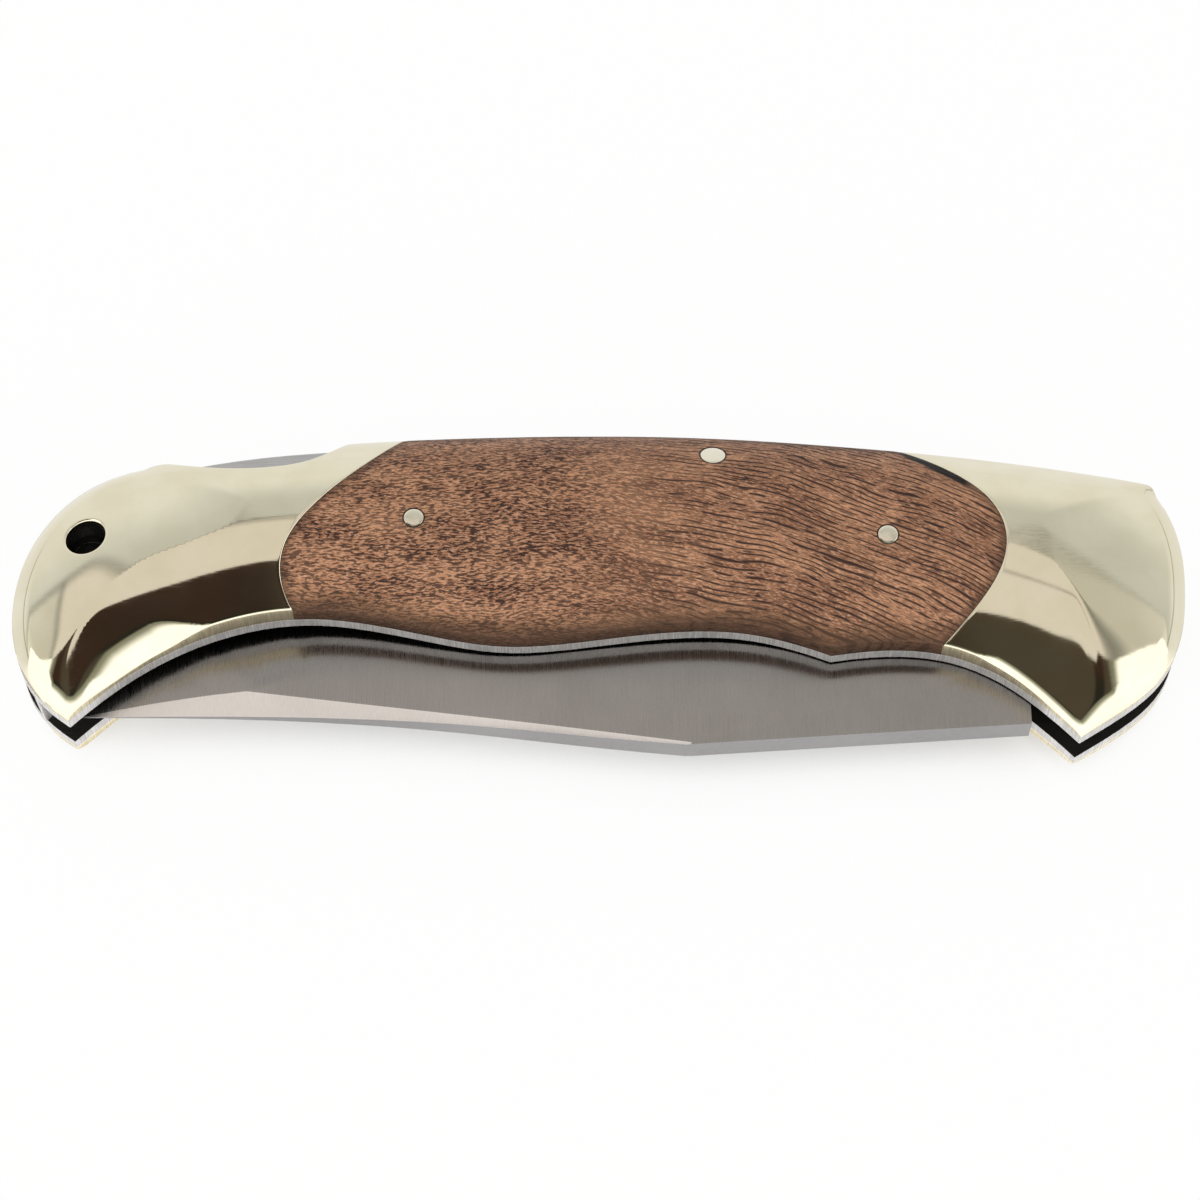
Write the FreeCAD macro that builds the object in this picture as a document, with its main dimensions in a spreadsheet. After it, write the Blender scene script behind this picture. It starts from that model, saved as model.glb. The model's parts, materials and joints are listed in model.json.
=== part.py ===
import FreeCAD, Part
import math
import os

import Sketcher

# A lock-back folding pocket knife, closed and lying on its left side.
# +X runs from the butt to the pivot, +Y from the belly to the back, +Z up through the right side.
# The blade swings out through the belly; a rocker bar along the back drops its hook into the tang.

V = FreeCAD.Vector

# Driving dimensions in millimetres.
SIZES = {
    "handle_length": 111.0,
    "handle_height": 32.0,
    "liner_thickness": 1.4,
    "crown_height": 4.6,
    "blade_thickness": 2.8,
    "washer_thickness": 0.15,
    "running_gap": 0.05,
    "overrun": 3.0,
    "land_lift": 0.02,
    "back_radius": 254.0,
    "back_run": 8.0,
    "back_fall": 4.2,
    "belly_radius": 200.0,
    "belly_break": 8.0,
    "belly_reach": 16.0,
    "butt_radius": 15.7,
    "front_radius": 16.8,
    "end_run": 4.6,
    "end_fall": 3.7,
    "pin_fit": 0.02,
    "running_fit": 0.04,
    "pivot_pin_radius": 2.0,
    "washer_radius": 4.4,
    "rocker_pin_radius": 1.22,
    "handle_pin_radius": 0.96,
    "butt_pin_radius": 1.2,
    "rivet_radius": 1.0,
    "rivet_depth": 2.4,
    "lanyard_radius": 1.85,
    "lanyard_chamfer": 0.4,
    "rim_radius": 7.6,
    "rim_gap": 0.2,
    "tang_flat": 5.8,
    "notch_floor": 5.9,
    "shoulder_reach": 5.9,
    "hook_length": 4.2,
    "hook_gap": 0.3,
    "hook_sweep": 0.4,
    "bar_clearance": 1.6,
    "bar_depth": 3.6,
    "bar_side_gap": 0.15,
    "bar_end_gap": 0.6,
    "stop_gap": 0.2,
    "edge_drop": 0.2,
    "edge_thickness": 0.3,
    "grind_width": 8.0,
    "swedge_reach": 5.0,
    "choil_width": 1.8,
    "choil_depth": 0.9,
    "nick_radius": 16.0,
    "nick_depth": 0.8,
    "nick_width": 2.4,
    "spring_thickness": 0.9,
    "spring_side_gap": 0.3,
    "spring_gap": 0.12,
    "spring_slot_depth": 5.0,
}

# Outlines as shares of the handle's length and height, measured from the middle of both.
CUSP_SHARES = (0.1955, -0.238)
FRONT_TIP_SHARES = (0.402, -0.5)
FRONT_CORNER_SHARES = (0.4775, 0.309)
THUMB_FRONT_SHARES = (-0.219, 0.47)
THUMB_REAR_SHARES = (-0.381, 0.399)
BUTT_TIP_SHARES = (-0.4455, -0.449)
FRONT_BELLY_SHARES = [CUSP_SHARES, (0.225, -0.221), (0.27, -0.212), (0.324, -0.261), (0.366, -0.366)]
FRONT_END_SHARES = [FRONT_TIP_SHARES, (0.441, -0.417), (0.487, -0.31), (0.5025, -0.038), (0.499, 0.187)]
BACK_SHARES = [FRONT_CORNER_SHARES, (0.36, 0.397), (0.216, 0.435), (0.072, 0.505), (-0.09, 0.4995)]
THUMB_SHARES = [THUMB_FRONT_SHARES, (-0.238, 0.378), (-0.27, 0.325), (-0.345, 0.335)]
BUTT_SHARES = [
    THUMB_REAR_SHARES, (-0.428, 0.365), (-0.481, 0.218), (-0.5045, -0.054), (-0.494, -0.28), (-0.474, -0.382),
]
REAR_BELLY_SHARES = [
    BUTT_TIP_SHARES, (-0.419, -0.356), (-0.374, -0.234), (-0.306, -0.134), (-0.234, -0.102),
    (-0.144, -0.174), (-0.0765, -0.224), (0.009, -0.18), (0.09, -0.145), (0.1485, -0.172),
]

# Lines where the wood meets the bolsters, from above the back to below the belly.
REAR_JOINT_SHARES = [(-0.1635, 0.56), (-0.168, 0.446), (-0.2305, 0.255), (-0.2875, 0.017), (-0.2575, -0.1535)]
REAR_JOINT_END_SHARES = (-0.22, -0.3)
FRONT_JOINT_SHARES = [(0.21, 0.54), (0.2945, 0.35), (0.349, 0.1985), (0.3455, -0.035), (0.303, -0.186)]
FRONT_JOINT_END_SHARES = (0.2515, -0.36)
BEYOND_SHARE = 1.0

# Centres of the four turned shoulders that crown the handle, and the bevel of the belly one.
BACK_CENTRE_SHARE = 0.0135
BACK_TOP_SHARE = 0.499
BELLY_CENTRE_SHARE = -0.09
BELLY_TOP_SHARE = 0.04
BUTT_CENTRE_SHARES = (-0.36, -0.06)
FRONT_CENTRE_SHARES = (0.352, -0.005)
BELLY_SLOPE_SHARE = 0.45

# Pins, rivets and the lanyard hole.
PIVOT_SHARES = (0.417, -0.054)
ROCKER_SHARES = (0.0973, 0.38)
FRONT_PIN_SHARES = (0.2442, 0.092)
REAR_PIN_SHARES = (-0.1584, 0.147)
LANYARD_SHARES = (-0.438, 0.1035)
BUTT_PIN_SHARES = [(-0.425, -0.107), (-0.4145, 0.275)]
RIVET_SHARES = [(0.3875, 0.215), (0.437, -0.26)]

# Blade: straight spine, hollowed clip, round belly of the edge, ricasso and tang.
SPINE_SHARE = -0.432
CLIP_SHARES = [(0.072, -0.4985), (0.012, -0.481), (-0.09, -0.436), (-0.2, -0.404), (-0.324, -0.39)]
TIP_SHARES = (-0.443, -0.394)
BELLY_START_SHARE = -0.162
HEEL_SHARE = 0.211
RICASSO_END_SHARE = 0.325
RAMP_END_SHARE = 0.365
SWEDGE_FRONT_SHARES = (0.077, -0.4915)
SWEDGE_REAR_SHARES = (-0.258, -0.3365)
SWEDGE_SLOPE_SHARE = 0.27
NICK_SHARES = (-0.01, -0.37)

# Lock bar, its spring and the spacer that closes the butt.
NOSE_SHARE = 0.312
BAR_TOP_SHARES = [
    (0.36, 0.394), (0.216, 0.433), (0.072, 0.503), (-0.09, 0.498), (-0.24, 0.478), (-0.325, 0.447),
]
BAR_REAR_SHARES = (-0.384, 0.396)
BAR_REAR_UNDER_SHARE = 0.293
BAR_WAIST_SHARES = (-0.18, 0.284)
SPACER_BUTT_SHARES = [(-0.429, 0.363), (-0.48, 0.217), (-0.5035, -0.054), (-0.492, -0.262)]
SPACER_FOOT_SHARES = (-0.4715, -0.384)
SPACER_INNER_SHARES = [(-0.422, -0.195), (-0.378, 0.009), (-0.369, 0.093)]
SPACER_LEDGE_SHARE = 0.193
SPRING_ROOT_SHARE = 0.128
SPRING_RISE_SHARES = [(-0.334, 0.0), (-0.288, 0.78), (-0.243, 1.18)]
SPRING_TIP_SHARES = (-0.203, 0.76)
SPACER_TOP_SHARE = 0.391

# Angles that the shoulders' cutters turn through.
RING_TURN = 60.0
END_TURN = 180.0
QUARTER_TURN = 90.0
FULL_TURN = 360.0

doc = FreeCAD.newDocument("folding_knife")
sheet = doc.addObject("Spreadsheet::Sheet", "Sizes")
for row, (alias, number) in enumerate(SIZES.items(), 1):
    sheet.set(f"A{row}", alias)
    sheet.set(f"B{row}", str(number))
    sheet.setAlias(f"B{row}", alias)
doc.recompute()


def size(alias):
    return f"Sizes.{alias}"


def along(share):
    return f"({share} * Sizes.handle_length)"


def across(share):
    return f"({share} * Sizes.handle_height)"


def place(shares):
    return along(shares[0]), across(shares[1])


def places(table):
    return [place(shares) for shares in table]


def value(expression):
    return float(sheet.evalExpression(expression))


# Heights of the layers above the middle plane of the blade.
HALF_BLADE = f"({size('blade_thickness')} / 2)"
HALF_SLOT = f"({HALF_BLADE} + {size('running_gap')} + {size('washer_thickness')})"
LINER_FACE = f"({HALF_SLOT} + {size('liner_thickness')})"
HALF_WIDTH = f"({LINER_FACE} + {size('crown_height')})"

PIVOT = place(PIVOT_SHARES)
ROCKER = place(ROCKER_SHARES)
FRONT_PIN = place(FRONT_PIN_SHARES)
REAR_PIN = place(REAR_PIN_SHARES)
LANYARD = place(LANYARD_SHARES)

SIDES = {"right": 1, "left": -1}


def level(side, height):
    """Height above the floor of a plane that lies height from the middle plane, on one side."""
    sign = "+" if side > 0 else "-"
    return f"({HALF_WIDTH} {sign} {height})"


def right_of(point, reach):
    return f"({point[0]} + {reach})", point[1]


def left_of(point, reach):
    return f"({point[0]} - {reach})", point[1]


def above(point, reach):
    return point[0], f"({point[1]} + {reach})"


def below(point, reach):
    return point[0], f"({point[1]} - {reach})"


class Profile:
    """A sketch on one of a body's own planes, each of its points tied to the sheet."""

    def __init__(self, body, name, plane="XY_Plane", shift=("0", "0", "0")):
        origin = {feature.Role: feature for feature in body.Origin.OriginFeatures}
        self.sketch = body.newObject("Sketcher::SketchObject", name)
        self.sketch.AttachmentSupport = [(origin[plane], "")]
        self.sketch.MapMode = "FlatFace"
        for axis, expression in zip("xyz", shift):
            self.sketch.setExpression(f"AttachmentOffset.Base.{axis}", expression)
        doc.recompute()

    def spot(self, point):
        return V(value(point[0]), value(point[1]), 0)

    def tie(self, geometry, position, point):
        kinds = zip(("DistanceX", "DistanceY"), point)
        for kind, expression in kinds:
            rule = Sketcher.Constraint(kind, -1, 1, geometry, position, value(expression))
            number = self.sketch.addConstraint(rule)
            self.sketch.setExpression(f"Constraints[{number}]", expression)

    def circle(self, centre, radius):
        drawn = Part.Circle(self.spot(centre), V(0, 0, 1), value(radius))
        geometry = self.sketch.addGeometry(drawn, False)
        self.tie(geometry, 3, centre)
        number = self.sketch.addConstraint(Sketcher.Constraint("Radius", geometry, value(radius)))
        self.sketch.setExpression(f"Constraints[{number}]", radius)

    def loop(self, runs):
        """A closed outline of lines, arcs through a middle point and splines through control points."""
        ends = []
        for index, (kind, points) in enumerate(runs):
            last = runs[(index + 1) % len(runs)][1][0]
            spots = [self.spot(point) for point in points + [last]]
            if kind == "line":
                drawn = Part.LineSegment(*spots)
            elif kind == "arc":
                drawn = Part.Arc(*spots)
            else:
                drawn = Part.BSplineCurve(spots, None, None, False, 3, None, False)
            geometry = self.sketch.addGeometry(drawn, False)
            starts = [self.sketch.getPoint(geometry, end).distanceToPoint(spots[0]) for end in (1, 2)]
            first = 1 if starts[0] < starts[1] else 2
            ends.append((geometry, first, 3 - first))
            self.tie(geometry, first, points[0])
            if kind == "arc":
                middle = self.sketch.addGeometry(Part.Point(spots[1]), True)
                self.sketch.addConstraint(Sketcher.Constraint("PointOnObject", middle, 1, geometry))
                self.tie(middle, 1, points[1])
            if kind == "spline":
                poles = self.sketch.GeometryCount
                self.sketch.exposeInternalGeometry(geometry)
                for step in range(1, len(points)):
                    self.tie(poles + step, 3, points[step])
        for index, (geometry, first, last) in enumerate(ends):
            following = ends[(index + 1) % len(ends)]
            rule = Sketcher.Constraint("Coincident", geometry, last, following[0], following[1])
            self.sketch.addConstraint(rule)


def new_body(label):
    body = doc.addObject("PartDesign::Body", label)
    body.Label = label
    body.AllowCompound = True
    return body


def pad(body, profile, length, symmetric=False, downward=False):
    feature = body.newObject("PartDesign::Pad", f"{body.Name}_pad")
    feature.Profile = profile.sketch
    feature.SideType = "Symmetric" if symmetric else "One side"
    feature.Reversed = downward
    feature.setExpression("Length", length)
    doc.recompute()


def cut(body, kind, profile, settings, expressions=()):
    """A Pocket or Groove that has to take material away."""
    before = body.Shape.Volume
    feature = body.newObject(f"PartDesign::{kind}", f"{body.Name}_cut")
    feature.Profile = profile.sketch
    for name, setting in settings.items():
        setattr(feature, name, setting)
    for name, expression in expressions:
        feature.setExpression(name, expression)
    doc.recompute()
    if not body.Shape.Volume < before:
        raise RuntimeError(f"{body.Label}: {profile.sketch.Name} cuts nothing")


def pocket(body, profile, length, upward=False, symmetric=False):
    side = "Symmetric" if symmetric else "One side"
    cut(body, "Pocket", profile, {"SideType": side, "Reversed": upward}, [("Length", length)])


def turned_cut(body, profile, turn, axis="V_Axis", centred=True):
    settings = {"ReferenceAxis": (profile.sketch, [axis]), "Angle": turn, "Midplane": centred}
    cut(body, "Groove", profile, settings)


def handle_runs():
    """The outline that the liners, scales and bolsters share, anticlockwise from the cusp in the belly."""
    tables = [FRONT_BELLY_SHARES, FRONT_END_SHARES, BACK_SHARES, THUMB_SHARES, BUTT_SHARES, REAR_BELLY_SHARES]
    return [("spline", places(table)) for table in tables]


def fitted(radius):
    """Hole radius for a pin that stays put."""
    return f"({size(radius)} + {size('pin_fit')})"


def shoulder_arc(side, run, fall, radius, inward):
    """Closed section of a rounded shoulder cutter; its land edge lies run inside the turning radius."""
    top = f"{HALF_WIDTH} + {size('land_lift')}"
    curve = f"(({run} ^ 2 + {fall} ^ 2) / (2 * {fall}))"
    sign = "-" if inward else ""

    def point(outward, depth):
        return f"({sign}({radius} - {run} + {outward}))", level(side, f"({top} - {depth})")

    half = f"({run} / 2)"
    half_depth = f"({curve} - sqrt({curve} ^ 2 - {half} ^ 2))"
    beyond = f"({run} + {size('overrun')})"
    tail = f"({fall} + {size('overrun')} * {run} / ({curve} - {fall}))"
    clear = f"(-{size('overrun')})"
    return [
        ("arc", [point("0", "0"), point(half, half_depth)]),
        ("line", [point(run, fall)]),
        ("line", [point(beyond, tail)]),
        ("line", [point(beyond, clear)]),
        ("line", [point("0", clear)]),
    ]


def back_shoulder(body, side):
    axis_height = f"({across(BACK_TOP_SHARE)} - {size('back_radius')})"
    shift = (axis_height, "0", along(BACK_CENTRE_SHARE))
    profile = Profile(body, f"{body.Name}_back_shoulder", "YZ_Plane", shift)
    profile.loop(shoulder_arc(side, size("back_run"), size("back_fall"), size("back_radius"), False))
    turned_cut(body, profile, RING_TURN)


def belly_shoulder(body, side):
    """A bevel that faces the belly, with a rounded break where it leaves the flat of the side."""
    axis_height = f"({across(BELLY_TOP_SHARE)} - {size('belly_radius')})"
    shift = (axis_height, "0", along(BELLY_CENTRE_SHARE))
    profile = Profile(body, f"{body.Name}_belly_shoulder", "YZ_Plane", shift)
    top = f"{HALF_WIDTH} + {size('land_lift')}"
    lean = math.atan(BELLY_SLOPE_SHARE)
    half_lean_run_share = math.sin(lean / 2)
    half_lean_fall_share = 1 - math.cos(lean / 2)
    lean_run_share = math.sin(lean)
    lean_fall_share = 1 - math.cos(lean)

    def point(inward, depth):
        return f"({size('belly_radius')} - {inward})", level(side, f"({top} - {depth})")

    broken = size("belly_break")
    reach = size("belly_reach")
    middle = point(f"({half_lean_run_share} * {broken})", f"({half_lean_fall_share} * {broken})")
    break_run = f"({lean_run_share} * {broken})"
    break_fall = f"({lean_fall_share} * {broken})"
    clear = f"(-{size('overrun')})"
    profile.loop([
        ("arc", [point("0", "0"), middle]),
        ("line", [point(break_run, break_fall)]),
        ("line", [point(reach, f"({break_fall} + ({reach} - {break_run}) * {BELLY_SLOPE_SHARE})")]),
        ("line", [point(reach, clear)]),
        ("line", [point("0", clear)]),
    ])
    turned_cut(body, profile, RING_TURN)


def end_shoulder(body, side, centre_shares, radius, inward):
    centre = place(centre_shares)
    shift = (centre[0], "0", f"(-{centre[1]})")
    profile = Profile(body, f"{body.Name}_end_shoulder", "XZ_Plane", shift)
    profile.loop(shoulder_arc(side, size("end_run"), size("end_fall"), radius, inward))
    turned_cut(body, profile, END_TURN)


def butt_shoulder(body, side):
    end_shoulder(body, side, BUTT_CENTRE_SHARES, size("butt_radius"), True)


def front_shoulder(body, side):
    end_shoulder(body, side, FRONT_CENTRE_SHARES, size("front_radius"), False)


def joint_cut(body, table, end_shares, keep_front):
    """Takes away what lies behind the joint line, or ahead of it."""
    far_share = -BEYOND_SHARE if keep_front else BEYOND_SHARE
    profile = Profile(body, f"{body.Name}_joint", shift=("0", "0", HALF_WIDTH))
    profile.loop([
        ("spline", places(table)),
        ("line", [place(end_shares)]),
        ("line", [place((end_shares[0], -BEYOND_SHARE))]),
        ("line", [place((far_share, -BEYOND_SHARE))]),
        ("line", [place((far_share, table[0][1]))]),
    ])
    pocket(body, profile, f"(2 * {HALF_WIDTH} + {size('overrun')})", symmetric=True)


def liner(name, side):
    body = new_body(f"{name}_liner")
    profile = Profile(body, f"{body.Name}_outline", shift=("0", "0", level(side, HALF_SLOT)))
    profile.loop(handle_runs())
    profile.circle(PIVOT, fitted("pivot_pin_radius"))
    profile.circle(ROCKER, fitted("rocker_pin_radius"))
    profile.circle(FRONT_PIN, fitted("handle_pin_radius"))
    profile.circle(REAR_PIN, fitted("handle_pin_radius"))
    profile.circle(LANYARD, size("lanyard_radius"))
    for shares in BUTT_PIN_SHARES:
        profile.circle(place(shares), fitted("butt_pin_radius"))
    for shares in RIVET_SHARES:
        profile.circle(place(shares), fitted("rivet_radius"))
    pad(body, profile, size("liner_thickness"), downward=side < 0)
    return body


def cover(label, side, holes):
    """A full-length cover blank on one liner, bored for its pins."""
    body = new_body(label)
    profile = Profile(body, f"{label}_outline", shift=("0", "0", level(side, LINER_FACE)))
    profile.loop(handle_runs())
    for centre, radius in holes:
        profile.circle(centre, radius)
    pad(body, profile, size("crown_height"), downward=side < 0)
    return body


def scale(name, side):
    holes = [
        (ROCKER, fitted("rocker_pin_radius")),
        (FRONT_PIN, fitted("handle_pin_radius")),
        (REAR_PIN, fitted("handle_pin_radius")),
    ]
    body = cover(f"{name}_scale", side, holes)
    joint_cut(body, REAR_JOINT_SHARES, REAR_JOINT_END_SHARES, True)
    joint_cut(body, FRONT_JOINT_SHARES, FRONT_JOINT_END_SHARES, False)
    back_shoulder(body, side)
    belly_shoulder(body, side)
    return body


def front_bolster(name, side):
    body = cover(f"{name}_front_bolster", side, [(PIVOT, fitted("pivot_pin_radius"))])
    joint_cut(body, FRONT_JOINT_SHARES, FRONT_JOINT_END_SHARES, True)
    back_shoulder(body, side)
    belly_shoulder(body, side)
    front_shoulder(body, side)
    sockets = Profile(body, f"{body.Name}_sockets", shift=("0", "0", level(side, LINER_FACE)))
    for shares in RIVET_SHARES:
        sockets.circle(place(shares), fitted("rivet_radius"))
    pocket(body, sockets, size("rivet_depth"), upward=side > 0)
    return body


def rear_bolster(name, side):
    holes = [(place(shares), fitted("butt_pin_radius")) for shares in BUTT_PIN_SHARES]
    body = cover(f"{name}_rear_bolster", side, holes + [(LANYARD, size("lanyard_radius"))])
    joint_cut(body, REAR_JOINT_SHARES, REAR_JOINT_END_SHARES, False)
    back_shoulder(body, side)
    belly_shoulder(body, side)
    butt_shoulder(body, side)
    rim = Profile(body, f"{body.Name}_rim", "XZ_Plane", (LANYARD[0], "0", f"(-{LANYARD[1]})"))
    wide = f"({size('lanyard_radius')} + {size('lanyard_chamfer')} + {size('overrun')})"
    clear = level(side, f"({HALF_WIDTH} + {size('overrun')})")
    apex = f"({HALF_WIDTH} - {size('lanyard_chamfer')} - {size('lanyard_radius')})"
    rim.loop([
        ("line", [("0", level(side, apex))]),
        ("line", [(wide, clear)]),
        ("line", [("0", clear)]),
    ])
    turned_cut(body, rim, FULL_TURN)
    return body


def through_pin(label, centres, radius, shoulders=()):
    """Pins from face to face of the handle, dressed flush with its crowned sides."""
    body = new_body(label)
    profile = Profile(body, f"{label}_round", shift=("0", "0", HALF_WIDTH))
    for centre in centres:
        profile.circle(centre, radius)
    pad(body, profile, f"(2 * {HALF_WIDTH})", symmetric=True)
    for shoulder in shoulders:
        for side in SIDES.values():
            shoulder(body, side)
    return body


def rivets(name, side):
    """Short rivets that hold the front bolster to its liner, blind in the bolster."""
    body = new_body(f"{name}_bolster_rivets")
    profile = Profile(body, f"{body.Name}_round", shift=("0", "0", level(side, HALF_SLOT)))
    for shares in RIVET_SHARES:
        profile.circle(place(shares), size("rivet_radius"))
    pad(body, profile, f"({size('liner_thickness')} + {size('rivet_depth')})", downward=side < 0)
    return body


def washer(name, side):
    body = new_body(f"{name}_pivot_washer")
    inner = level(side, f"({HALF_BLADE} + {size('running_gap')})")
    profile = Profile(body, f"{body.Name}_ring", shift=("0", "0", inner))
    profile.circle(PIVOT, size("washer_radius"))
    profile.circle(PIVOT, fitted("pivot_pin_radius"))
    pad(body, profile, size("washer_thickness"), downward=side < 0)
    return body


# Blade lines that several of its cuts share.
RICASSO = f"({FRONT_PIN[1]} - {size('handle_pin_radius')} - {size('stop_gap')})"
EDGE = f"({RICASSO} - {size('edge_drop')})"
TIP = place(TIP_SHARES)
BELLY_START = (along(BELLY_START_SHARE), EDGE)
BELLY_RUN = f"({BELLY_START[0]} - {TIP[0]})"
BELLY_DROP = f"({EDGE} - {TIP[1]})"
BELLY_ROUND = f"(({BELLY_RUN} ^ 2 + {BELLY_DROP} ^ 2) / (2 * {BELLY_DROP}))"


def blade_runs():
    heel = (along(HEEL_SHARE), EDGE)
    choil = (f"({heel[0]} + {size('choil_width')} / 2)", f"({EDGE} - {size('choil_depth')})")
    kick = (f"({heel[0]} + {size('choil_width')})", RICASSO)
    belly_middle = (
        f"({BELLY_START[0]} - sqrt({BELLY_ROUND} * {BELLY_DROP} / 2))",
        f"({EDGE} - {BELLY_ROUND} + sqrt({BELLY_ROUND} * (2 * {BELLY_ROUND} - {BELLY_DROP}) / 2))",
    )
    flat_reach = f"sqrt({size('rim_radius')} ^ 2 - {size('tang_flat')} ^ 2)"
    horn = f"({size('shoulder_reach')} - {size('hook_length')} - {size('hook_gap')} - {size('hook_sweep')})"
    horn_reach = f"sqrt({size('rim_radius')} ^ 2 - {horn} ^ 2)"
    shoulder = left_of(PIVOT, size("shoulder_reach"))
    return [
        ("line", [(shoulder[0], across(SPINE_SHARE))]),
        ("spline", places(CLIP_SHARES)),
        ("arc", [TIP, belly_middle]),
        ("line", [BELLY_START]),
        ("arc", [heel, choil]),
        ("line", [kick]),
        ("line", [(along(RICASSO_END_SHARE), RICASSO)]),
        ("line", [(along(RAMP_END_SHARE), f"({PIVOT[1]} + {size('tang_flat')})")]),
        ("arc", [above(right_of(PIVOT, flat_reach), size("tang_flat")), right_of(PIVOT, size("rim_radius"))]),
        ("line", [below(left_of(PIVOT, horn), horn_reach)]),
        ("line", [below(left_of(PIVOT, horn), size("notch_floor"))]),
        ("line", [below(shoulder, size("notch_floor"))]),
    ]


def grind_section(profile, start):
    """Wedges on both faces that thin the blade from the grind line to the edge."""
    inner = f"({start} - {size('grind_width')})"
    outer = f"({start} + {size('overrun')})"
    half_edge = f"({size('edge_thickness')} / 2)"
    for side in SIDES.values():
        clear = level(side, f"({HALF_BLADE} + {size('overrun')})")
        profile.loop([
            ("line", [(inner, level(side, HALF_BLADE))]),
            ("line", [(start, level(side, half_edge))]),
            ("line", [(outer, level(side, half_edge))]),
            ("line", [(outer, clear)]),
            ("line", [(inner, clear)]),
        ])


def swedge(body):
    """The flats that thin both sides of the clip, cut along a straight line that meets the spine."""
    front = place(SWEDGE_FRONT_SHARES)
    rear = place(SWEDGE_REAR_SHARES)
    profile = Profile(body, "blade_swedge", "YZ_Plane", (front[1], "0", front[0]))
    turn = f"atan2({rear[1]} - {front[1]}; {front[0]} - {rear[0]})"
    profile.sketch.AttachmentOffset = FreeCAD.Placement(
        profile.sketch.AttachmentOffset.Base, FreeCAD.Rotation(V(0, -1, 0), value(f"{turn} / 1 deg"))
    )
    profile.sketch.setExpression("AttachmentOffset.Rotation.Angle", turn)
    doc.recompute()
    outer = f"(-{size('swedge_reach')})"
    low = f"({HALF_BLADE} - {size('swedge_reach')} * {SWEDGE_SLOPE_SHARE})"
    for side in SIDES.values():
        clear = level(side, f"({HALF_BLADE} + {size('overrun')})")
        profile.loop([
            ("line", [("0", level(side, HALF_BLADE))]),
            ("line", [("0", clear)]),
            ("line", [(outer, clear)]),
            ("line", [(outer, level(side, low))]),
        ])
    pocket(body, profile, size("handle_length"))


def nail_nick(body):
    """The thumbnail slot on the left face, steep towards the spine, as a wheel cutter leaves it."""
    centre = place(NICK_SHARES)
    radius = size("nick_radius")
    depth = size("nick_depth")
    hub = f"({level(-1, HALF_BLADE)} - {radius} + {depth})"
    profile = Profile(body, "blade_nick", "YZ_Plane", ("0", hub, centre[0]))
    rim = f"({radius} - {depth} - {size('overrun')})"
    far = f"({centre[1]} + {size('nick_width')} * ({depth} + {size('overrun')}) / {depth})"
    profile.loop([
        ("line", [(centre[1], radius)]),
        ("line", [(centre[1], rim)]),
        ("line", [(far, rim)]),
    ])
    turned_cut(body, profile, FULL_TURN, axis="H_Axis")


def blade():
    body = new_body("blade")
    profile = Profile(body, "blade_outline", shift=("0", "0", HALF_WIDTH))
    profile.loop(blade_runs())
    profile.circle(PIVOT, f"({size('pivot_pin_radius')} + {size('running_fit')})")
    pad(body, profile, size("blade_thickness"), symmetric=True)
    straight = Profile(body, "blade_straight_grind", "YZ_Plane", ("0", "0", BELLY_START[0]))
    grind_section(straight, EDGE)
    pocket(body, straight, f"({along(HEEL_SHARE)} - {BELLY_START[0]})", upward=True)
    centre = f"({EDGE} - {BELLY_ROUND})"
    curved = Profile(body, "blade_curved_grind", "YZ_Plane", (centre, "0", BELLY_START[0]))
    grind_section(curved, BELLY_ROUND)
    turned_cut(body, curved, QUARTER_TURN, centred=False)
    swedge(body)
    nail_nick(body)
    return body


def lock_bar():
    body = new_body("lock_bar")
    front = f"({size('shoulder_reach')} - {size('hook_gap')})"
    back = f"({front} - {size('hook_length')})"
    under = f"({size('rim_radius')} + {size('rim_gap')})"
    waist = f"({under} + {size('bar_clearance')})"
    nose = (f"({PIVOT[0]} + {front})", across(NOSE_SHARE))
    rear = place(BAR_REAR_SHARES)
    rear_under = (rear[0], across(BAR_REAR_UNDER_SHARE))
    profile = Profile(body, "lock_bar_outline", shift=("0", "0", HALF_WIDTH))
    profile.loop([
        ("spline", [nose] + places(BAR_TOP_SHARES)),
        ("line", [rear]),
        ("spline", [rear_under, place(BAR_WAIST_SHARES), below(ROCKER, size("bar_depth"))]),
        ("line", [above(right_of(PIVOT, back), waist)]),
        ("line", [above(right_of(PIVOT, back), under)]),
        ("line", [above(right_of(PIVOT, front), under)]),
    ])
    profile.circle(ROCKER, f"({size('rocker_pin_radius')} + {size('running_fit')})")
    pad(body, profile, f"(2 * ({HALF_SLOT} - {size('bar_side_gap')}))", symmetric=True)
    return body


# Slot in the spacer that grips the root of the spring.
LEDGE = along(SPACER_INNER_SHARES[-1][0])
SLOT_END = f"({LEDGE} - {size('spring_slot_depth')})"
SPRING_LOW = across(SPRING_ROOT_SHARE)
SPRING_HIGH = f"({SPRING_LOW} + {size('spring_thickness')})"


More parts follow.
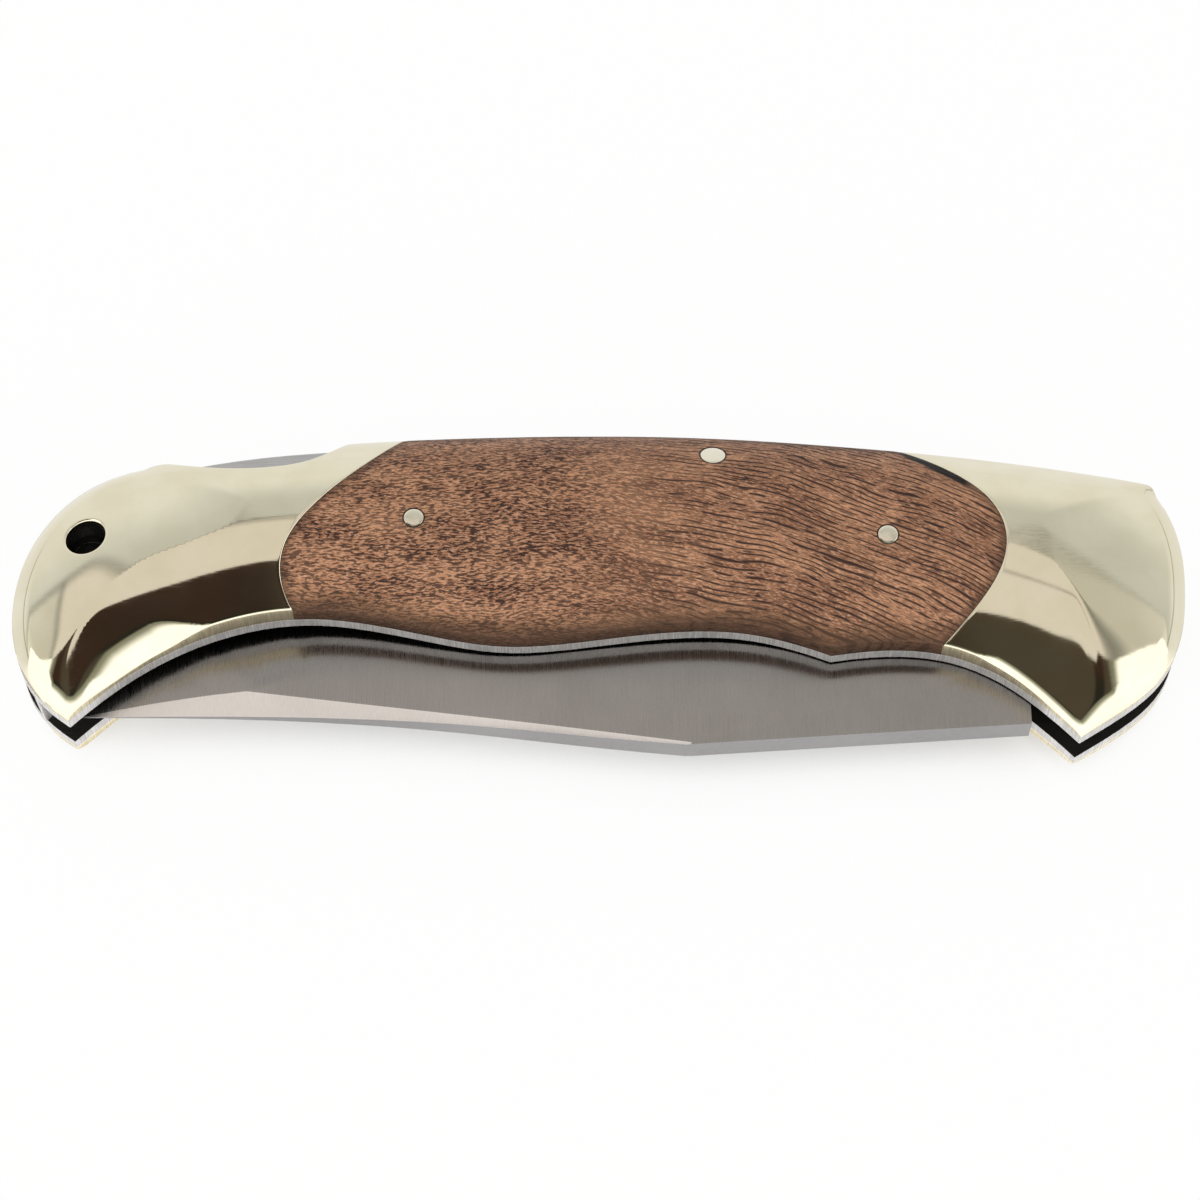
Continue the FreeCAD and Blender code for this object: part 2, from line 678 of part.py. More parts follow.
def lock_spring():
    """A leaf gripped in the spacer, arched up to press under the rear arm of the lock bar."""
    body = new_body("lock_spring")
    rise = f"({across(BAR_WAIST_SHARES[1])} - {size('spring_gap')} - {SPRING_HIGH})"

    def rising(shares, base):
        return along(shares[0]), f"({base} + {shares[1]} * {rise})"

    lower = [rising(shares, SPRING_LOW) for shares in SPRING_RISE_SHARES]
    upper = [rising(shares, SPRING_HIGH) for shares in reversed(SPRING_RISE_SHARES)]
    profile = Profile(body, "lock_spring_outline", shift=("0", "0", HALF_WIDTH))
    profile.loop([
        ("line", [(SLOT_END, SPRING_LOW)]),
        ("spline", [(LEDGE, SPRING_LOW)] + lower),
        ("line", [rising(SPRING_TIP_SHARES, SPRING_LOW)]),
        ("spline", [rising(SPRING_TIP_SHARES, SPRING_HIGH)] + upper),
        ("line", [(LEDGE, SPRING_HIGH)]),
        ("line", [(SLOT_END, SPRING_HIGH)]),
    ])
    pad(body, profile, f"(2 * ({HALF_SLOT} - {size('spring_side_gap')}))", symmetric=True)
    return body


def rear_spacer():
    body = new_body("rear_spacer")
    fit = size("pin_fit")
    face = f"({along(BAR_REAR_SHARES[0])} - {size('bar_end_gap')})"
    deep = f"({SLOT_END} - {fit})"
    low = f"({SPRING_LOW} - {fit})"
    high = f"({SPRING_HIGH} + {fit})"
    corners = places([SPACER_FOOT_SHARES] + SPACER_INNER_SHARES)
    corners += [(LEDGE, low), (deep, low), (deep, high), (LEDGE, high)]
    corners += [(LEDGE, across(SPACER_LEDGE_SHARE)), (face, across(SPACER_LEDGE_SHARE))]
    profile = Profile(body, "rear_spacer_outline", shift=("0", "0", HALF_WIDTH))
    butt = [(face, across(SPACER_TOP_SHARE))] + places(SPACER_BUTT_SHARES)
    profile.loop([("spline", butt)] + [("line", [corner]) for corner in corners])
    profile.circle(LANYARD, size("lanyard_radius"))
    for shares in BUTT_PIN_SHARES:
        profile.circle(place(shares), fitted("butt_pin_radius"))
    pad(body, profile, f"(2 * {HALF_SLOT})", symmetric=True)
    return body


pieces = [blade(), lock_bar(), lock_spring(), rear_spacer()]
for name, side in SIDES.items():
    for make in (liner, scale, front_bolster, rear_bolster, washer, rivets):
        pieces.append(make(name, side))
butt_pins = places(BUTT_PIN_SHARES)
pieces += [
    through_pin("pivot_pin", [PIVOT], size("pivot_pin_radius")),
    through_pin("rocker_pin", [ROCKER], size("rocker_pin_radius"), [back_shoulder]),
    through_pin("front_handle_pin", [FRONT_PIN], size("handle_pin_radius")),
    through_pin("rear_handle_pin", [REAR_PIN], size("handle_pin_radius")),
    through_pin("butt_pins", butt_pins, size("butt_pin_radius"), [back_shoulder, belly_shoulder]),
]
doc.recompute()

for item in doc.Objects:
    if "Invalid" in item.State or "Error" in item.State:
        raise RuntimeError(f"{item.Label} failed: {item.State}")
for piece in pieces:
    if piece.Shape.isNull() or not piece.Shape.isValid():
        raise RuntimeError(f"{piece.Label} has no valid shape")

os.makedirs("parts", exist_ok=True)
for piece in pieces:
    piece.Shape.exportStep(f"parts/{piece.Label}.step")
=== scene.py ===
import json
import math

import bmesh
import bpy
import numpy as np
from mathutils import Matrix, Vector
from mathutils.geometry import delaunay_2d_cdt


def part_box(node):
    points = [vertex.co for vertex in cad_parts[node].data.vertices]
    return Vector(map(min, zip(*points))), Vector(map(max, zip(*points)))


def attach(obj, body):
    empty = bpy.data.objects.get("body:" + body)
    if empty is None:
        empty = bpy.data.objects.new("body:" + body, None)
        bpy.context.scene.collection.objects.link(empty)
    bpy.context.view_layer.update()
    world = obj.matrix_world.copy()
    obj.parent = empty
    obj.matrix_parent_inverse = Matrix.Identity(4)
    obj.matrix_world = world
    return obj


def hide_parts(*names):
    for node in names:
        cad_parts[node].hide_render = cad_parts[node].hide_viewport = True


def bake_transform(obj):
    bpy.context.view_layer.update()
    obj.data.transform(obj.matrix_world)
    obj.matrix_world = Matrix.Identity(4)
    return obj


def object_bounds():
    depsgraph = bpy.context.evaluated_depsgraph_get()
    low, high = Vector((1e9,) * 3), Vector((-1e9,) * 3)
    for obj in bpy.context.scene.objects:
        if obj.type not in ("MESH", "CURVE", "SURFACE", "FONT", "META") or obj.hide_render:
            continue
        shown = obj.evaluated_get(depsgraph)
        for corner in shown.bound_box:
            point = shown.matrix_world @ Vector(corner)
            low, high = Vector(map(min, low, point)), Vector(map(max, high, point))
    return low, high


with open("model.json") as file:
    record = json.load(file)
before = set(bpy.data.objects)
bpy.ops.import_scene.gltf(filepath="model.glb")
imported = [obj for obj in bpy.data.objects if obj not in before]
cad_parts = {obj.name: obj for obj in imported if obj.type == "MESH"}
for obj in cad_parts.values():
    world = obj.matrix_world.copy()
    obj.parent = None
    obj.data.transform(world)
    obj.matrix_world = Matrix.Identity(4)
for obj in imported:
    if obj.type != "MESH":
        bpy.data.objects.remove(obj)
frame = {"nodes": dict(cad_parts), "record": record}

# A closed lock-back pocket knife on a white table. Lengths are in millimetres.
CAD_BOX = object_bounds()
MM = 0.001

# Layers of the handle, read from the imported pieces.
MIDDLE = (CAD_BOX[0].z + CAD_BOX[1].z) / 2 / MM
LINER_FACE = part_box("right_liner")[1].z / MM - MIDDLE
CROWN = CAD_BOX[1].z / MM - MIDDLE - LINER_FACE
SIDES = {"right": 1, "left": -1}
SLOTS = {row["node"]: row["material_slot"] for row in frame["record"]["subparts"]}
LANYARD = next(row for row in frame["record"]["mounts"] if row["name"] == "lanyard_hole")
LANYARD_PLACE = np.array(LANYARD["pos_m"][:2]) / MM
LANYARD_CHAMFER, LANYARD_OFFSET, LANYARD_REACH = 0.25, 1.0, 2.0

# Shape of the handle's sides: how far in from each edge a rounding runs, and how deep it falls there.
BACK_CENTRE, BACK_RADIUS = (1.5, -238.03), 254.0
BACK_RUN, BACK_FALL = 8.0, 3.9
BACK_LIFT, BACK_LIFT_RUN = 0.7, 40.0
CAMBER_START_Y, CAMBER_RADIUS = 3.0, 150.0
END_RUN, END_FALL, END_POWER = 13.0, 3.2, 2.2
END_LIP, END_LIP_FALL = 1.8, 0.8
BUTT_STOP_X, FRONT_STOP_Y = -44.0, 9.0
BELLY_RUN, BELLY_RUN_GAIN = 9.9, 0.032
BELLY_CURVE, BELLY_CURVE_GAIN = 17.5, 0.145
BELLY_BEVEL = 0.38
BLEND_POWER = 7.0
STEEPEST_SHARE = 0.97
THINNEST = 0.25

# The belly's rounding near the handle's two points; each fade is a pair of distances from the point.
REAR_SWELL, FRONT_SWELL, SWELL_REACH = 1.6, 2.8, 16.0
REAR_LIP, FRONT_LIP, LIP_SLOPE = 2.6, 0.8, 0.8
REAR_LIP_FADE, FRONT_LIP_FADE = (16.5, 11.0), (13.0, 10.0)
TIP_LIP_SHARE, TIP_LIP_FADE = 0.45, (1.0, 7.0)

# Steps and tolerances of the meshes.
SCALE_STEP, SCALE_RIM = 0.45, 0.12
BOLSTER_STEP, BOLSTER_RIM = 0.32, 0.14
RIM_ROWS, ROW_STEP, ROW_SPACING = (0.12, 0.3, 0.6, 1.0), 0.22, 0.97
OUTLINE_STEP, SMOOTH_STEP, SMOOTHING = 0.3, 0.25, 1.2
SLOPE_STEP = 0.02
LEVEL_TOLERANCE = 0.001
SAME_POINT = 1e-5
SAME_VERTEX = 1e-7
FLAT_ANGLE, SHARP_ANGLE = math.radians(0.3), math.radians(32)
POINTS_AT_ONCE = 1000

# Widths of the soft edges.
BLADE_BEVEL, LOCK_BAR_BEVEL, SPRING_BEVEL = 0.06, 0.15, 0.04
LINER_BEVEL, SPACER_BEVEL = 0.08, 0.06
HIDDEN_PIN_BEVEL, SMALL_PART_BEVEL = 0.1, 0.02

# Heads of the flush pins: rings by their share of the radius and their drop below the dome.
PIN_CORNERS, PIN_DOME = 40, 0.06
PIN_RINGS = ((1.0, 0.1), (0.97, 0.04), (0.9, 0.01), (0.7, 0.0), (0.45, 0.0), (0.2, 0.0))
# Pins that are polished away into the bolsters end below the surface.
HIDDEN_PIN_SHARE = 0.7

# The blade thins towards its tip; it has lost half of its thickness this far behind the middle.
HALF_THIN_X = -31.0
BLADE_CUTS = range(-48, 1, 4)

# Places in the material lists of the crowned pieces and the blade.
WALL, BORE = 1, 2
FLAT, SWEDGE, SPINE = 0, 1, 2
# How upright a face's normal is on the swedge, on walls and on level faces.
SWEDGE_TILT, WALL_TILT, LEVEL_TILT = (0.9, 0.985), 0.5, 0.9

# Grain of the wood: where it starts to bend, how fast, and how its rows lie.
BEND_START_X, BEND_RATE, SWAY = -8.0, 0.0062, 2.6
ROWS_PER_MM, ROW_WANDER = 1.75, 2.4
GLUE_X, GLUE_HALF = 32.0, 4.6
# How finely brush lines are drawn along x, y and z, by the axis that they run in.
BRUSH_SCALES = {"x": (0.25, 26.0, 9.0), "y": (26.0, 0.25, 9.0), "z": (9.0, 9.0, 0.4)}

# Camera, as fitted to the photograph's frame of 1200 pixels.
FRAME_PIXELS = 1200
FOCAL_PIXELS = 3344
SENSOR_WIDTH, NEAR_CLIP = 36.0, 10.0
CAMERA_ELEVATION = math.radians(63.5)
CAMERA_DISTANCE = 320.0
CAMERA_TARGET = Vector((0.0, -0.22, MIDDLE))

# The table lies just below the pin heads of the hidden side. Its mirror image brightens towards the front.
FLOOR_GAP, FLOOR_HALF = 0.1, 1500.0
FLOOR_GLOW, SHADOW_REACH, SHADOW_RANGE, SHADOW_SAMPLES = 0.93, 18.0, (0.05, 0.62), 8
MIRROR_FRONT_Y, MIRROR_REAR_GAIN, MIRROR_FRONT_GAIN = -25.0, -0.06, 0.45

LAMP_PLACE, LAMP_SIZE, LAMP_POWER = (-90, -60, 600), (500, 400), 1.3

# Seams and opening of the tent, in degrees from straight up.
TOP_SEAM_LEFT, TOP_SEAM = 38.5, 27.7
LEFT_SEAM, RIGHT_SEAM_FRONT, RIGHT_SEAM_REAR = 44.0, 33.0, 8.5
INNER_SEAM, INNER_SLANT, END_SEAM_HEIGHT = 16.5, 1.6, 7.0
OPENING_MIDDLE, OPENING_TOP, OPENING_TOP_SIDE = -5.0, -10.0, 10.0
FLAP_NEAR, FLAP_FAR = 36.0, 63.0
GREY_SHARE = 0.65


def rgb(red, green, blue):
    return (red, green, blue, 1.0)


WHITE = rgb(1, 1, 1)
TABLE_GREY = rgb(0.86, 0.86, 0.86)

WOOD_DARK, WOOD_PALE = rgb(0.25, 0.112, 0.060), rgb(0.41, 0.205, 0.112)
WOOD_FLECK, WOOD_PORE = rgb(0.56, 0.325, 0.205), rgb(0.026, 0.013, 0.011)
# The belly colour on the next line is painted shade.
WOOD_BELLY_SHADE, WOOD_RIM = rgb(0.10, 0.054, 0.027), rgb(0.055, 0.028, 0.017)
WOOD_RING, GLUE_BLACK = rgb(0.012, 0.008, 0.006), rgb(0.008, 0.007, 0.006)

TENT_LINING, SEAM_GREY = rgb(0.84, 0.79, 0.74), rgb(0.12, 0.125, 0.11)
REAR_LOW, REAR_HIGH = rgb(0.66, 0.67, 0.65), rgb(0.92, 0.92, 0.90)
WING_LOW, WING_HIGH = rgb(0.95, 0.94, 0.90), rgb(0.66, 0.65, 0.60)
OPENING_BROWN, OPENING_BLACK = rgb(0.050, 0.028, 0.020), rgb(0.026, 0.025, 0.020)
OPENING_GREY, HEM_OLIVE = rgb(0.105, 0.088, 0.064), rgb(0.30, 0.31, 0.24)
FLAP_WHITE = rgb(1.5, 1.5, 1.5)


class Graph:
    """Adds nodes to one node tree."""

    def __init__(self, tree):
        self.tree = tree

    def add(self, kind, settings=None, inputs=None):
        made = self.tree.nodes.new(kind)
        for name, value in (settings or {}).items():
            setattr(made, name, value)
        for name, value in (inputs or {}).items():
            self.feed(made.inputs[name], value)
        return made

    def feed(self, socket, value):
        if isinstance(value, bpy.types.NodeSocket):
            self.tree.links.new(value, socket)
        else:
            socket.default_value = value

    def math(self, operation, *values):
        made = self.add("ShaderNodeMath", {"operation": operation})
        for socket, value in zip(made.inputs, values):
            self.feed(socket, value)
        return made.outputs[0]

    def vector(self, x, y, z):
        return self.add("ShaderNodeCombineXYZ", inputs={"X": x, "Y": y, "Z": z}).outputs[0]

    def noise(self, vector, scale=1.0, detail=2.0, roughness=0.5):
        inputs = {"Vector": vector, "Scale": scale, "Detail": detail, "Roughness": roughness}
        return self.add("ShaderNodeTexNoise", inputs=inputs).outputs[0]

    def ramp(self, value, low, high, start=0.0, end=1.0):
        """Smooth step from start to end as value goes from low to high."""
        inputs = {"Value": value, "From Min": low, "From Max": high, "To Min": start, "To Max": end}
        return self.add("ShaderNodeMapRange", {"interpolation_type": "SMOOTHSTEP"}, inputs).outputs[0]

    def line(self, value, centre, half, strength):
        """A soft line of the given strength where value passes centre."""
        off = self.math("ABSOLUTE", self.math("SUBTRACT", value, centre))
        return self.ramp(off, 0.0, half, strength, 0.0)

    def mix(self, share, first, second):
        """Blends two colours; the colour sockets come after those for numbers and vectors."""
        made = self.add("ShaderNodeMix", {"data_type": "RGBA"})
        self.feed(made.inputs[0], share)
        self.feed(made.inputs[6], first)
        self.feed(made.inputs[7], second)
        return made.outputs[2]


class Shader(Graph):
    """One material's node graph around its Principled surface."""

    def __init__(self, name):
        self.material = bpy.data.materials.new(name)
        self.material.use_nodes = True
        super().__init__(self.material.node_tree)
        self.surface = self.tree.nodes["Principled BSDF"]
        place = self.add("ShaderNodeTexCoord").outputs["Object"]
        scaled = self.add("ShaderNodeVectorMath", {"operation": "SCALE"}, {"Vector": place, "Scale": 1 / MM})
        self.place = scaled.outputs["Vector"]
        split = self.add("ShaderNodeSeparateXYZ", inputs={"Vector": self.place})
        self.x, self.y, self.z = split.outputs

    def set(self, **inputs):
        for name, value in inputs.items():
            self.feed(self.surface.inputs[name.replace("_", " ").title()], value)

    def attribute(self, name):
        return self.add("ShaderNodeAttribute", {"attribute_name": name}).outputs["Fac"]

    def stretched(self, x, y, z, detail=2.0, roughness=0.5):
        """Noise whose cells are stretched along the axes."""
        axes = zip((self.x, self.y, self.z), (x, y, z))
        parts = [self.math("MULTIPLY", axis, share) for axis, share in axes]
        return self.noise(self.vector(*parts), 1.0, detail, roughness)

    def bump(self, height, strength, depth):
        inputs = {"Height": height, "Strength": strength, "Distance": depth * MM}
        self.feed(self.surface.inputs["Normal"], self.add("ShaderNodeBump", inputs=inputs).outputs[0])


def polished_metal(name, rough, dark=rgb(0.78, 0.725, 0.555), light=rgb(0.82, 0.77, 0.605)):
    """Nickel silver with a polish, faint buffing haze and hairline scratches."""
    s = Shader(name)
    haze = s.noise(s.place, scale=0.22, detail=3.0)
    hairs = s.stretched(0.5, 14.0, 1.0)
    tint = s.mix(s.ramp(haze, 0.35, 0.65), dark, light)
    cloudy = s.ramp(haze, 0.3, 0.7, rough, rough * 1.8)
    s.set(base_color=tint, metallic=1.0)
    s.set(roughness=s.math("ADD", cloudy, s.ramp(hairs, 0.52, 0.75, 0.0, 0.05)))
    s.bump(hairs, strength=0.04, depth=0.02)
    return s.material


def brushed_steel(name, light, dark, rough, along, relief=0.25, metallic=1.0):
    """Satin steel with fine brush lines; along is the axis the lines run in."""
    s = Shader(name)
    lines = s.stretched(*BRUSH_SCALES[along], detail=3.0, roughness=0.6)
    clouds = s.noise(s.place, scale=0.12, detail=3.0)
    shade = s.math("ADD", s.math("MULTIPLY", lines, 0.7), s.math("MULTIPLY", clouds, 0.3))
    s.set(base_color=s.mix(s.ramp(shade, 0.35, 0.65), dark, light), metallic=metallic)
    s.set(roughness=s.ramp(lines, 0.3, 0.7, rough - 0.06, rough + 0.08))
    if along == "y":
        s.set(anisotropic=0.8, tangent=s.vector(1.0, 0.0, 0.0))
    s.bump(lines, relief, depth=0.02)
    return s.material


def oiled_wood():
    """Reddish brown wood with dark open pores whose lines bend down towards the pivot end."""
    s = Shader("oiled_wood")
    past = s.math("MAXIMUM", s.math("ADD", s.x, -BEND_START_X), 0.0)
    bend = s.math("MULTIPLY", s.math("POWER", past, 2.0), BEND_RATE)
    waves = s.noise(s.place, scale=0.08, detail=2.0)
    sway = s.math("MULTIPLY", s.math("SUBTRACT", waves, 0.5), SWAY)
    across = s.math("ADD", s.math("ADD", s.y, bend), sway)

    def fibres(length, width, seed, detail=1.0):
        """Noise in cells of about this length along the grain and this width across it."""
        parts = [
            s.math("ADD", s.math("MULTIPLY", s.x, 1 / length), seed),
            s.math("MULTIPLY", across, 1 / width),
            s.math("MULTIPLY", s.z, 1 / width),
        ]
        return s.noise(s.vector(*parts), 1.0, detail)

    broad = s.vector(s.math("MULTIPLY", s.x, 0.13), s.math("MULTIPLY", across, 0.3), s.z)
    patches = s.noise(broad, detail=3.0)

    # Short pores thin out towards the front, where broken rows of long ones and some blots take over.
    short = s.ramp(fibres(0.68, 0.165, 3.0), 0.50, 0.55)
    tiny = s.ramp(fibres(0.4, 0.12, 31.0), 0.55, 0.60)
    wander = s.math("MULTIPLY", fibres(9.0, 2.2, 11.0), ROW_WANDER)
    rows = s.math("ADD", s.math("MULTIPLY", across, ROWS_PER_MM), wander)
    broken = s.ramp(fibres(2.2, 0.4, 5.0), 0.40, 0.48)
    long = s.math("MULTIPLY", s.line(s.math("FRACT", rows), 0.5, 0.27, 1.7), broken)
    blots = s.ramp(fibres(1.6, 0.4, 17.0), 0.64, 0.70)
    to_front = s.ramp(s.x, -6.0, 14.0)
    short = s.math("MULTIPLY", short, s.math("SUBTRACT", 1.0, s.math("MULTIPLY", to_front, 0.5)))
    long = s.math("MULTIPLY", s.math("MAXIMUM", long, blots), to_front)
    pores = s.math("MAXIMUM", s.math("MAXIMUM", short, long), s.math("MULTIPLY", tiny, 0.7))
    pores = s.math("MINIMUM", s.math("MULTIPLY", pores, s.ramp(patches, 0.34, 0.70, 1.0, 0.75)), 1.0)

    fine = fibres(0.5, 0.14, 23.0, detail=2.0)
    wood = s.mix(s.ramp(patches, 0.36, 0.64), WOOD_DARK, WOOD_PALE)
    wood = s.mix(s.ramp(fine, 0.45, 0.62, 0.0, 0.55), wood, WOOD_FLECK)
    wood = s.mix(s.math("MULTIPLY", pores, 0.96), wood, WOOD_PORE)

    # Painted shade along the belly; darker along the outline, black around the pins and in a glue line at
    # the front joint.
    ragged = s.math("MULTIPLY", s.math("SUBTRACT", patches, 0.5), 1.2)
    belly = s.ramp(s.math("ADD", s.attribute("belly"), ragged), 0.5, 2.6, 0.5, 0.0)
    wood = s.mix(belly, wood, WOOD_BELLY_SHADE)
    rim = s.ramp(s.math("ADD", s.attribute("edge"), ragged), 0.1, 1.2, 0.6, 0.0)
    wood = s.mix(rim, wood, WOOD_RIM)
    ring = s.ramp(s.attribute("hole"), 0.03, 0.16, 0.9, 0.0)
    wood = s.mix(ring, wood, WOOD_RING)
    joint = s.ramp(s.attribute("edge"), 0.5, 1.0, 1.0, 0.0)
    glue = s.math("MULTIPLY", joint, s.line(s.x, GLUE_X, GLUE_HALF, 2.5))
    glue = s.math("MINIMUM", s.math("MULTIPLY", glue, s.ramp(s.y, 7.2, 8.6)), 1.0)
    wood = s.mix(glue, wood, GLUE_BLACK)

    s.set(base_color=wood, roughness=s.ramp(pores, 0.0, 1.0, 0.46, 0.65))
    s.surface.inputs["Specular IOR Level"].default_value = 0.2
    relief = s.math("ADD", s.math("MULTIPLY", pores, -1.0), s.math("MULTIPLY", fine, 0.25))
    s.bump(relief, strength=0.5, depth=0.05)
    return s.material


def bronze():
    s = Shader("bronze")
    cloud = s.noise(s.place, scale=0.8, detail=3.0)
    tint = s.mix(cloud, rgb(0.50, 0.30, 0.13), rgb(0.68, 0.45, 0.22))
    s.set(base_color=tint, metallic=1.0, roughness=s.ramp(cloud, 0.3, 0.7, 0.25, 0.4))
    return s.material


MATERIALS = {
    "nickel_silver": polished_metal("polished_nickel_silver", rough=0.04),
    "blade_steel": brushed_steel(
        "satin_blade_steel", rgb(0.385, 0.365, 0.355), rgb(0.315, 0.30, 0.29),
        rough=0.26, along="y", relief=0.12),
    "liner_steel": brushed_steel(
        "brushed_liner_steel", rgb(0.70, 0.68, 0.66), rgb(0.40, 0.39, 0.38),
        rough=0.42, along="z", relief=0.4, metallic=0.5),
    "spring_steel": brushed_steel(
        "satin_spring_steel", rgb(0.62, 0.62, 0.63), rgb(0.50, 0.50, 0.51),
        rough=0.3, along="x", relief=0.12),
    "wood": oiled_wood(),
    "bronze": bronze(),
}
PIN_METAL = polished_metal(
    "satin_nickel_silver", rough=0.16, dark=rgb(0.76, 0.71, 0.58), light=rgb(0.83, 0.78, 0.65))
WALL_METAL = brushed_steel(
    "brushed_nickel_silver", rgb(0.80, 0.70, 0.48), rgb(0.50, 0.43, 0.29),
    rough=0.42, along="z", relief=0.3, metallic=0.7)
# Near-black steel: painted shade in the bores and in the blade's slot.
BORE_SHADE_METAL = brushed_steel(
    "bore_and_slot_painted_shade", rgb(0.06, 0.056, 0.05), rgb(0.03, 0.028, 0.026), rough=0.6, along="x")
# Matte steel for the swedge whose near-white colour is a painted highlight.
SWEDGE_HIGHLIGHT_STEEL = brushed_steel(
    "matte_swedge_steel_painted_highlight", rgb(0.98, 0.94, 0.92), rgb(0.84, 0.80, 0.78), rough=0.36, along="y", relief=0.3)
# A darker copy of the blade steel: painted shade on the spine and the clip's edge.
SPINE_SHADE_STEEL = brushed_steel(
    "spine_steel_painted_shade", rgb(0.27, 0.26, 0.26), rgb(0.20, 0.19, 0.19), rough=0.36, along="x")


def flat_loops(node, height):
    """Closed outlines of a node's flat face at one height, the longest first."""
    mesh = frame["nodes"][node].data
    spots = [tuple(round(c / MM, 4) for c in vertex.co) for vertex in mesh.vertices]
    border = set()
    for polygon in mesh.polygons:
        corners = [spots[index] for index in polygon.vertices]
        if any(abs(corner[2] - height) > LEVEL_TOLERANCE for corner in corners):
            continue
        for pair in zip(corners, corners[1:] + corners[:1]):
            if pair[::-1] in border:
                border.remove(pair[::-1])
            else:
                border.add(pair)
    following = dict(border)
    loops = []
    while following:
        spot = next(iter(sorted(following)))
        loop = []
        while spot in following:
            loop.append(spot[:2])
            spot = following.pop(spot)
        loops.append(np.array(loop))
    return sorted(loops, key=lambda loop: -np.ptp(loop[:, 0]))


def refined(loop, step):
    """The same outline with no run longer than step."""
    points = []
    for first, second in zip(loop, np.roll(loop, -1, axis=0)):
        count = max(1, math.ceil(np.hypot(*(second - first)) / step))
        points += [first + (second - first) * part / count for part in range(count)]
    return np.array(points)


def distance_to(points, line, closed=True):
    """Distance from each point to a line of short runs."""
    starts = line if closed else line[:-1]
    runs = (np.roll(line, -1, axis=0) if closed else line[1:]) - starts
    squares = np.maximum((runs ** 2).sum(1), 1e-12)
    nearest = []
    for batch in np.array_split(points, max(1, len(points) // POINTS_AT_ONCE)):
        offset = batch[:, None, :] - starts[None]
        share = np.clip((offset * runs).sum(2) / squares, 0, 1)
        nearest.append(np.hypot(*np.moveaxis(offset - share[..., None] * runs, 2, 0)).min(1))
    return np.concatenate(nearest)


def inside(points, loop):
    """Which points lie within a closed outline."""
    crossings = np.zeros(len(points), int)
    for (x0, y0), (x1, y1) in zip(loop, np.roll(loop, -1, axis=0)):
        if y0 != y1:
            spans = (points[:, 1] < y0) != (points[:, 1] < y1)
            crossings += spans & (points[:, 0] < x0 + (points[:, 1] - y0) * (x1 - x0) / (y1 - y0))
    return crossings % 2 == 1


def smoothed(line):
    """An open line at an even step with its facets rounded off; both ends stay."""
    along = np.concatenate([[0], np.cumsum(np.hypot(*np.diff(line, axis=0).T))])
    even = np.linspace(0, along[-1], int(along[-1] / SMOOTH_STEP))
    line = np.stack([np.interp(even, along, axis) for axis in line.T], 1)
    reach = int(3 * SMOOTHING / SMOOTH_STEP)
    weights = np.exp(-0.5 * (np.arange(-reach, reach + 1) * SMOOTH_STEP / SMOOTHING) ** 2)
    before = 2 * line[0] - line[reach:0:-1]
    after = 2 * line[-1] - line[-2:-reach - 2:-1]
    padded = np.vstack([before, line, after])
    return np.stack([np.convolve(axis, weights / weights.sum(), "valid") for axis in padded.T], 1)


def handle_edges():
    """The belly, butt and front edges of the handle's outline, parted at its two points."""
    handle = refined(flat_loops("right_liner", MIDDLE + LINER_FACE)[0], OUTLINE_STEP)
    rear_tip = np.where(handle[:, 0] < 0, handle[:, 1], np.inf).argmin()
    turned = np.roll(handle, -rear_tip, axis=0)
    front_tip = np.where(turned[:, 0] > 0, turned[:, 1], np.inf).argmin()
    halves = turned[:front_tip + 1], np.vstack([turned[front_tip:], turned[:1]])[::-1]
    belly, upper = sorted(halves, key=lambda half: half[:, 1].mean())
    butt = upper[:np.argmax(upper[:, 0] > BUTT_STOP_X)]
    front = upper[::-1]
    front = front[:np.argmax(front[:, 1] > FRONT_STOP_Y)]
    return smoothed(belly), smoothed(butt), smoothed(front)


BELLY, BUTT, FRONT = handle_edges()


def shoulder(depth_inside, run, fall):
    """How far a round shoulder has fallen, for a distance inside its edge."""
    curve = (run ** 2 + fall ** 2) / (2 * fall)
    reach = np.clip(run - depth_inside, 0, STEEPEST_SHARE * curve)
    return curve - np.sqrt(curve ** 2 - reach ** 2)


def end_fall(points, line):
    """A long soft fall towards one end of the handle, with a rounder lip at the edge."""
    depth_inside = distance_to(points, line, closed=False)
    soft = END_FALL * np.maximum(1 - depth_inside / END_RUN, 0) ** END_POWER
    return soft + END_LIP_FALL * np.maximum(1 - depth_inside / END_LIP, 0) ** 2


def soft_step(value, low, high):
    share = np.clip((value - low) / (high - low), 0, 1)
    return share ** 2 * (3 - 2 * share)


def belly_fall(points):
    """A round fall that ends in a bevel along the belly, with a round lip near the two points."""
    depth_inside = distance_to(points, BELLY, closed=False)
    rear, front = (np.hypot(*(points - BELLY[end]).T) for end in (0, -1))
    swell = REAR_SWELL * soft_step(rear, SWELL_REACH, 0) + FRONT_SWELL * soft_step(front, SWELL_REACH, 0)
    run = BELLY_RUN + BELLY_RUN_GAIN * points[:, 0] + swell
    curve = BELLY_CURVE + BELLY_CURVE_GAIN * points[:, 0]
    slope = np.clip((run - depth_inside) / curve, 0, BELLY_BEVEL)
    fall = slope * (run - depth_inside) - curve * slope ** 2 / 2
    from_tip = TIP_LIP_SHARE + (1 - TIP_LIP_SHARE) * soft_step(rear, *TIP_LIP_FADE)
    rear_lip = REAR_LIP * soft_step(rear, *REAR_LIP_FADE) * from_tip
    lip = np.maximum(rear_lip, FRONT_LIP * soft_step(front, *FRONT_LIP_FADE)) + SLOPE_STEP
    return fall + LIP_SLOPE / 2 * lip * np.maximum(1 - depth_inside / lip, 0) ** 2


